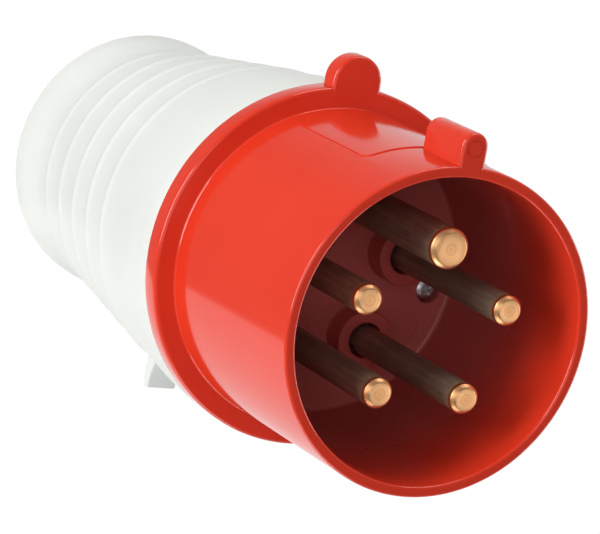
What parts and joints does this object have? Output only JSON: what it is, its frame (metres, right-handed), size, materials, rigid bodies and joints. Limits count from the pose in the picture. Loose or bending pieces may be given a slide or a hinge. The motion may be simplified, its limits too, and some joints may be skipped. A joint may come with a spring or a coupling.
{
  "type": "industrial pin and sleeve plug",
  "caption": "Five-pole industrial plug: red keyed shroud round brass pins on a tapered white grip with a sliding release latch and a gland nut in the flared tail.",
  "frame": {"origin": "middle of the tail face, on the plug axis", "axes": "+Z along the plug axis, out of the mouth; the key ridge, ear and earth pin are on the -Y side and the release latch on +Y"},
  "size_m": [0.0732, 0.086, 0.145],
  "materials": {
    "shell_red": "moulded, semi-gloss",
    "handle_white": "moulded, satin gloss",
    "latch_white": "moulded, satin gloss",
    "nut_white": "moulded, satin gloss",
    "block_grey": "moulded, matt",
    "pin_brass": "turned",
    "screw_steel": "zinc plated",
    "spring_steel": "drawn wire",
    "seal_rubber": "moulded"
  },
  "bodies": {
    "plug": {"front_shell": "shell_red", "contact_block": "block_grey", "earth_pin": "pin_brass", "line_pin_1": "pin_brass", "line_pin_2": "pin_brass", "line_pin_3": "pin_brass", "neutral_pin": "pin_brass", "earth_terminal_screw": "screw_steel", "line_terminal_screw_1": "screw_steel", "line_terminal_screw_2": "screw_steel", "line_terminal_screw_3": "screw_steel", "neutral_terminal_screw": "screw_steel", "block_screw_left": "screw_steel", "block_screw_right": "screw_steel", "joint_seal": "seal_rubber", "handle": "handle_white", "latch_spring": "spring_steel", "cable_seal": "seal_rubber"},
    "latch": {"release_latch": "latch_white"},
    "slip": {"slip_ring": "nut_white"},
    "nut": {"gland_nut": "nut_white"}
  },
  "joints": [
    {"name": "latch_slide", "type": "slide", "parent": "plug", "child": "latch", "axis": [0, -0.1244, -0.9922], "range_m": [0, 0.0035], "stiffness_N_per_m": 300, "springref_m": -0.004, "deforming": ["latch_spring"]},
    {"name": "slip_slide", "type": "slide", "parent": "plug", "child": "slip", "axis": [0, 0, -1], "range_m": [0, 0.003]},
    {"name": "nut_turn", "type": "hinge", "parent": "slip", "child": "nut", "pos_m": [0, 0, 0.0124], "axis": [0, 0, -1], "range_deg": [0, 540]}
  ],
  "couplings": [
    {"joint": "slip_slide", "follows": "nut_turn", "m_per_rad": 0.00031831}
  ]
}
